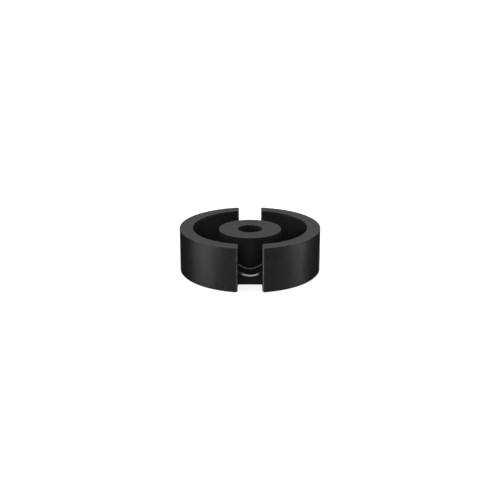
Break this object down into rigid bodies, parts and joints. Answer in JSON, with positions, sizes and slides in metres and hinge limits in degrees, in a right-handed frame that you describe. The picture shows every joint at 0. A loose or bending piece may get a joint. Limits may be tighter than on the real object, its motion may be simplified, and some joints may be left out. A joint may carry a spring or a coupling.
{
  "type": "ferrite pot core half",
  "caption": "Round ferrite pot core half with a ring wall, hollow centre post, open winding space and opposite wire slots, for transformers and inductors.",
  "frame": {"origin": "centre of the base's underside, on the bore's axis", "axes": "+Z along the bore from the base to the ground mating face, the wire slots towards -Y and +Y, +X across them"},
  "size_m": [0.03, 0.0294, 0.0095],
  "materials": {
    "ferrite": "satin"
  },
  "bodies": {
    "root": {"core_half": "ferrite"}
  },
  "joints": []
}
